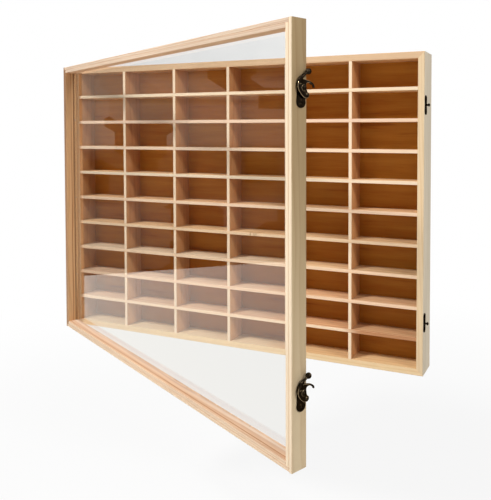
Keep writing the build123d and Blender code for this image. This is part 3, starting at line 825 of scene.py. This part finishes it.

# %% [markdown]
# ## Boards of the door
#
# The door is a frame of narrow strips with a bead inside it. Its latch side is the palest wood of all, with
# thin peach lines, and its hinge side is brown, darkened as painted shade. Where the bead on the hinge side
# meets the pane, a dark corner stands for glue in the gap and is a painted contact shadow as well, and both
# upright sides of the door darken towards their tops as painted shade. Such shadows could be left to the
# lamps, but these are painted into the wood, so they stay when the light moves.

# %% Tones of the door
STILE_FRONT = (srgb(253, 232, 202), srgb(236, 192, 150))
TOP_FRONT = (srgb(229, 205, 180), srgb(193, 141, 106))
RAIL_FRONT = (srgb(240, 214, 184), srgb(198, 142, 100))
# The fronts on the hinge side are darkened as painted shade.
SHADED_HINGE_FRONT = (srgb(178, 138, 106), srgb(140, 92, 60))
SHADED_BEAD_FRONT = (srgb(184, 145, 110), srgb(146, 98, 64))
RAIL_SIDE = (srgb(228, 188, 150), srgb(192, 142, 104))
# The sill's tones are paler partly as painted light from the lamp above.
LIT_SILL = (srgb(238, 203, 170), srgb(196, 140, 98))
HINGE_SIDE = (srgb(224, 180, 132), srgb(172, 116, 72))
LATCH_SIDE = (srgb(226, 204, 168), srgb(194, 160, 118))
# The next three tints are painted shade: the hinge side darkens towards its top, and the dark line where the
# bead meets the pane is a painted contact shadow that also stands for glue in the gap.
PAINTED_SHADE_UP = Tint((0.80, 0.76, 0.72, 1.0), ALONG, -0.20, 0.05, on_front=True)
PAINTED_SHADE_TOP = Tint((0.84, 0.82, 0.84, 1.0), ALONG, 0.04, 0.16, on_front=True)
GLUE_AND_CORNER_SHADOW = Tint((0.42, 0.36, 0.30, 1.0), FRONT_TO_BACK, 0.0040, 0.0058, on_front=False)
# Painted light: the sill grows whiter towards the pane.
PAINTED_SILL_LIGHT = Tint((1.06, 1.22, 1.45, 1.0), FRONT_TO_BACK, 0.0, 0.0062, on_front=False)
# The outer side of the latch stile darkens towards its top as painted shade.
PAINTED_LATCH_SIDE_SHADE = Tint((0.63, 0.56, 0.46, 1.0), ALONG, -0.24, 0.12, on_front=False)
DOOR_TINTS = {
    "door_latch_stile": [PAINTED_LATCH_SIDE_SHADE],
    "door_hinge_stile": [PAINTED_SHADE_UP, PAINTED_SHADE_TOP],
    "pane_bead_hinge_side": [PAINTED_SHADE_UP, PAINTED_SHADE_TOP, GLUE_AND_CORNER_SHADOW],
    "pane_bead_bottom": [PAINTED_SILL_LIGHT],
}
DOOR_SEAMS = {"pane_bead_bottom": -0.0026, "pane_bead_hinge_side": 0.0017}
print(len(DOOR_TINTS), "door boards have marks")

# %% [markdown]
# ### Frame, beads and slats
#
# Each of the twelve boards has tones for its front and for its sides. The strips are cut from slow-grown
# wood, so their rings are narrow and show strongly. They could be dressed one by one, but a table shows at a
# glance which strips share a tone.

# %% Dress the door
DOOR_BOARDS = {
    "door_top_rail": ("X", RAIL_SIDE, TOP_FRONT),
    "door_bottom_rail": ("X", RAIL_SIDE, RAIL_FRONT),
    "door_hinge_stile": ("Z", HINGE_SIDE, SHADED_HINGE_FRONT),
    "door_latch_stile": ("Z", LATCH_SIDE, STILE_FRONT),
    "pane_bead_top": ("X", RAIL_SIDE, TOP_FRONT),
    "pane_bead_bottom": ("X", LIT_SILL, RAIL_FRONT),
    "pane_bead_hinge_side": ("Z", HINGE_SIDE, SHADED_BEAD_FRONT),
    "pane_bead_latch_side": ("Z", HINGE_SIDE, STILE_FRONT),
    "pane_slat_top": ("X", RAIL_SIDE, TOP_FRONT),
    "pane_slat_bottom": ("X", LIT_SILL, RAIL_FRONT),
    "pane_slat_hinge_side": ("Z", HINGE_SIDE, SHADED_HINGE_FRONT),
    "pane_slat_latch_side": ("Z", HINGE_SIDE, STILE_FRONT),
}
DOOR_SEED = 90
DOOR_LOOKS = {"on_door": True, "ring": 0.0024, "lean": 0.012, "figure": 1.0}

for number, (name, (along, side_tones, front_tones)) in enumerate(DOOR_BOARDS.items()):
    marks = {"seam": DOOR_SEAMS.get(name), "tints": DOOR_TINTS.get(name, ())}
    dress_board(name, along, side_tones + front_tones, seed=DOOR_SEED + number, **DOOR_LOOKS, **marks)
print(len(DOOR_BOARDS), "door boards dressed")

# %% [markdown]
# ## The pane
#
# Clear glass bends and mirrors light, and its mirror is weak head on and strong at a slant. The
# Principled shader knows that from its index of refraction. Light from a lamp would not find its way
# through bending glass, so for those rays, and for soft light on its way to the wood, the pane is
# simply open.

# %% Pane
GLASS_TONE = (0.99, 0.995, 0.985, 1.0)
GLASS_INDEX = 1.62
OPEN_TONE = (0.99, 0.99, 0.99, 1.0)

pane_glass = bpy.data.materials.new("clear_pane")
pane_tree = bare_tree(pane_glass)
glass = pane_tree.nodes.new("ShaderNodeBsdfPrincipled")
glass.inputs["Base Color"].default_value = GLASS_TONE
glass.inputs["Transmission Weight"].default_value = 1.0
glass.inputs["Roughness"].default_value = 0.0
glass.inputs["IOR"].default_value = GLASS_INDEX
open_way = pane_tree.nodes.new("ShaderNodeBsdfTransparent")
open_way.inputs["Color"].default_value = OPEN_TONE
ray = pane_tree.nodes.new("ShaderNodeLightPath").outputs
lamp_rays = calc(pane_tree, "MAXIMUM", ray["Is Shadow Ray"], ray["Is Diffuse Ray"])
show(pane_tree, two_way(pane_tree, lamp_rays, glass, open_way))
dress(["pane"], pane_glass)
print("pane glazed, index", GLASS_INDEX)

# %% [markdown]
# ## Old bronze
#
# The catches are cast and dipped until they are nearly black, and the hand rubs them bright where they stand
# proud. A fine noise sets how much of the brass shines through. On the cast hooks the rubbed places are found
# by the Geometry node: its pointiness is high where a surface bulges sharply. Wear could also be painted, but
# then it wouldn't follow the form. The claws reach behind the door, where nobody touches them, and stay dark.

# %% Bronze recipe
DIPPED_TONE = (0.012, 0.008, 0.005, 1.0)
WORN_TONE = (0.11, 0.072, 0.036, 1.0)
RUBBED_BRASS = (0.46, 0.35, 0.22, 1.0)
DIPPED_EDGE = (0.22, 0.18, 0.14, 1.0)
SHARP = (0.506, 0.530)   # the bulge at which an edge starts to be bare, and is fully bare
SHARP_STIR = 0.03
CLAW_FROM = -0.1620      # how far back the claws begin, measured squarely to the door
CLAW_FADE = 0.002
CLAW_RUBBED = 0.15
BLOTCHES_PER_M = 320.0
GRIT_PER_M = 2600.0
NEXT_NOISE = (0.37, 0.11, 0.0)      # how far the noise of the next finish starts from this one
WORN_NOISE = (0.62, 0.86)           # the noise at which brass starts to show, and shows fully, without wear
WEAR_LOWERS = 0.25                  # how far full wear lowers both
DIPPED_ROUGHNESS = 0.20
GRIT_ROUGHNESS = 0.10
WORN_ROUGHNESS = -0.08              # comes off where the brass shows
GRIT_RISES = 0.4
BRONZE_BUMP = 0.00005


def rubbed_places(tree, place, blotch):
    """Where bare brass shows, 0 to 1: the bulge of the surface, stirred by a noise, and less on the claws."""
    bulge = tree.nodes.new("ShaderNodeNewGeometry").outputs["Pointiness"]
    sharp = ease(tree, stir(tree, bulge, blotch, SHARP_STIR), *SHARP)
    behind = vector_calc(tree, "DOT_PRODUCT", place, [-part for part in FRONT_OF_DOOR])
    touched = ease(tree, behind, CLAW_FROM, CLAW_FROM + CLAW_FADE, to_low=1.0, to_high=CLAW_RUBBED)
    return calc(tree, "MULTIPLY", sharp, touched)


def old_bronze(name, wear, seed, rubbed_edges=False):
    """Dipped bronze: two tones mixed by noise, rougher where it is dark. Wear is how much brass shows."""
    material, tree, shader = principled(name)
    place = object_place(tree)
    moved = vector_calc(tree, "ADD", place, [seed * step for step in NEXT_NOISE])
    blotch = cloud(tree, moved, scale=BLOTCHES_PER_M, detail=4.0, roughness=0.6)
    grit = cloud(tree, moved, scale=GRIT_PER_M, roughness=0.6)
    bright = ease(tree, blotch, *[noise - wear * WEAR_LOWERS for noise in WORN_NOISE])
    tone = blend(tree, bright, DIPPED_TONE, WORN_TONE)
    if rubbed_edges:
        tone = blend(tree, rubbed_places(tree, place, blotch), tone, RUBBED_BRASS)
    tree.links.new(tone, shader.inputs["Base Color"])
    shader.inputs["Metallic"].default_value = 1.0
    shader.inputs["Specular Tint"].default_value = DIPPED_EDGE
    gritty = calc(tree, "MULTIPLY_ADD", grit, GRIT_ROUGHNESS, DIPPED_ROUGHNESS)
    rough = calc(tree, "MULTIPLY_ADD", bright, WORN_ROUGHNESS, gritty)
    tree.links.new(rough, shader.inputs["Roughness"])
    bumps(tree, shader, calc(tree, "MULTIPLY_ADD", grit, GRIT_RISES, blotch), BRONZE_BUMP)
    return material


print("bronze recipe ready")

# %% [markdown]
# ### Catches, hinges and hooks
#
# One finish could do for all of them. But the hinges rub at every turn of the door, so more of their brass
# shows, and the hooks are the only pieces with rubbed edges. So each kind gets its own, and the count at the
# end shows if a piece was missed.

# %% Dress the bronze
CATCH_PIECES = ("catch_", "latch_plate", "latch_rivets", "latch_screws")
CATCH_NODES = [name for name in nodes if name.startswith(CATCH_PIECES)]
HINGE_NODES = [name for name in nodes if name.startswith("hinge_")]
dress(CATCH_NODES, old_bronze("bronze_catches", wear=0.2, seed=1))
dress(HINGE_NODES, old_bronze("bronze_hinges", wear=0.35, seed=2))
HOOK_BRONZE = old_bronze("bronze_hooks", wear=0.2, seed=3, rubbed_edges=True)
print(len(CATCH_NODES) + len(HINGE_NODES), "bronze pieces")

# %% [markdown]
# ## Steel
#
# Brads and small screws are plain drawn steel, with fine marks along them and a little soil. New steel would
# be a mirror, and in a mirror this small nobody sees more than a grey dot.

# %% Steel
STEEL_TONES = ((0.50, 0.49, 0.47, 1.0), (0.28, 0.27, 0.26, 1.0))
DRAW_MARKS_PER_M = (900.0, 5200.0, 5200.0)
SOIL_PER_M = 500.0
SOIL_NOISE = (0.35, 0.7)            # the noise at which soil starts to show, and shows fully
STEEL_ROUGHNESS = (0.22, 0.24)      # how much the marks add, and to what
STEEL_BUMP = 0.00004
STEEL_NODES = ["back_panel_brads", "pane_slat_brads", "hanger_screws"]


def drawn_steel(name):
    """Grey steel with fine marks and a little soil."""
    material, tree, shader = principled(name)
    place = object_place(tree)
    soil = cloud(tree, place, scale=SOIL_PER_M, detail=3.0, roughness=0.6)
    marks = cloud(tree, spread(tree, place, DRAW_MARKS_PER_M), roughness=0.6)
    soiled = blend(tree, ease(tree, soil, *SOIL_NOISE), *STEEL_TONES)
    tree.links.new(soiled, shader.inputs["Base Color"])
    shader.inputs["Metallic"].default_value = 1.0
    tree.links.new(calc(tree, "MULTIPLY_ADD", marks, *STEEL_ROUGHNESS), shader.inputs["Roughness"])
    bumps(tree, shader, marks, STEEL_BUMP)
    return material


dress(STEEL_NODES, drawn_steel("steel_brads"))
print(len(STEEL_NODES), "steel pieces")

# %% [markdown]
# ## Zinc
#
# The hanger plates are dipped in zinc, which freezes on sheet steel in flat flowers, each with its own grey
# and gloss. A Voronoi pattern has just that form. A noise would look like stone.

# %% Zinc
ZINC_TONES = ((0.52, 0.54, 0.56, 1.0), (0.70, 0.71, 0.72, 1.0))
FLOWERS_PER_M = 260.0
ZINC_GRAIN_PER_M = 900.0
ZINC_ROUGHNESS = (0.20, 0.28)       # how much a flower's draw adds, and to what
ZINC_BUMP = 0.00005
ZINC_NODES = ["hanger_plate_left", "hanger_plate_right"]


def zinc_sheet(name):
    """Zinc: flat flowers of slightly different grey, each with its own gloss."""
    material, tree, shader = principled(name)
    place = object_place(tree)
    flowers = tree.nodes.new("ShaderNodeTexVoronoi")
    flowers.inputs["Scale"].default_value = FLOWERS_PER_M
    tree.links.new(place, flowers.inputs["Vector"])
    lots = tree.nodes.new("ShaderNodeSeparateColor")
    tree.links.new(flowers.outputs["Color"], lots.inputs[0])
    tree.links.new(blend(tree, lots.outputs[0], *ZINC_TONES), shader.inputs["Base Color"])
    shader.inputs["Metallic"].default_value = 1.0
    rough = calc(tree, "MULTIPLY_ADD", lots.outputs[1], *ZINC_ROUGHNESS)
    tree.links.new(rough, shader.inputs["Roughness"])
    bumps(tree, shader, cloud(tree, place, scale=ZINC_GRAIN_PER_M), ZINC_BUMP)
    return material


dress(ZINC_NODES, zinc_sheet("zinc_hangers"))
print(len(ZINC_NODES), "zinc pieces")

# %% [markdown]
# ## The two cast hooks
#
# The hooks are small castings, and a casting has no sharp edge and no seam between body, lobe and horn: the
# sand and years of handling round everything off. Bevels would have to be set edge by edge and fail where the
# horn leaves the body. So a copy of the solid is filled with tiny cubes and skinned anew, which melts its
# forms into one, and the skin is then smoothed, which takes the edges off.

# %% Cast the hooks
SAME_CORNER = 1e-6
SKIN = 0.00016
SOFTENING = 0.5
ROUNDING = 10


def cast_hook(level):
    """The solid hook, its corners joined, skinned on a fine grid of cubes and smoothed."""
    source = nodes["latch_hook_" + level]
    mesh = source.data.copy()
    mesh.name = "cast_hook_" + level
    form = bmesh.new()
    form.from_mesh(mesh)
    bmesh.ops.remove_doubles(form, verts=form.verts, dist=SAME_CORNER)
    form.to_mesh(mesh)
    form.free()
    piece = bpy.data.objects.new("cast_hook_" + level, mesh)
    scene.collection.objects.link(piece)
    skin = piece.modifiers.new("skin", "REMESH")
    skin.mode = "VOXEL"
    skin.voxel_size = SKIN
    skin.use_smooth_shade = True
    soften = piece.modifiers.new("soften", "SMOOTH")
    soften.factor = SOFTENING
    soften.iterations = ROUNDING
    mesh.materials.clear()
    mesh.materials.append(HOOK_BRONZE)
    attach(piece, level + "_hook")
    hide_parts("latch_hook_" + level)
    return piece


for level in ("upper", "lower"):
    piece = cast_hook(level)
    print(piece.name, len(piece.data.vertices), "corners before skinning")
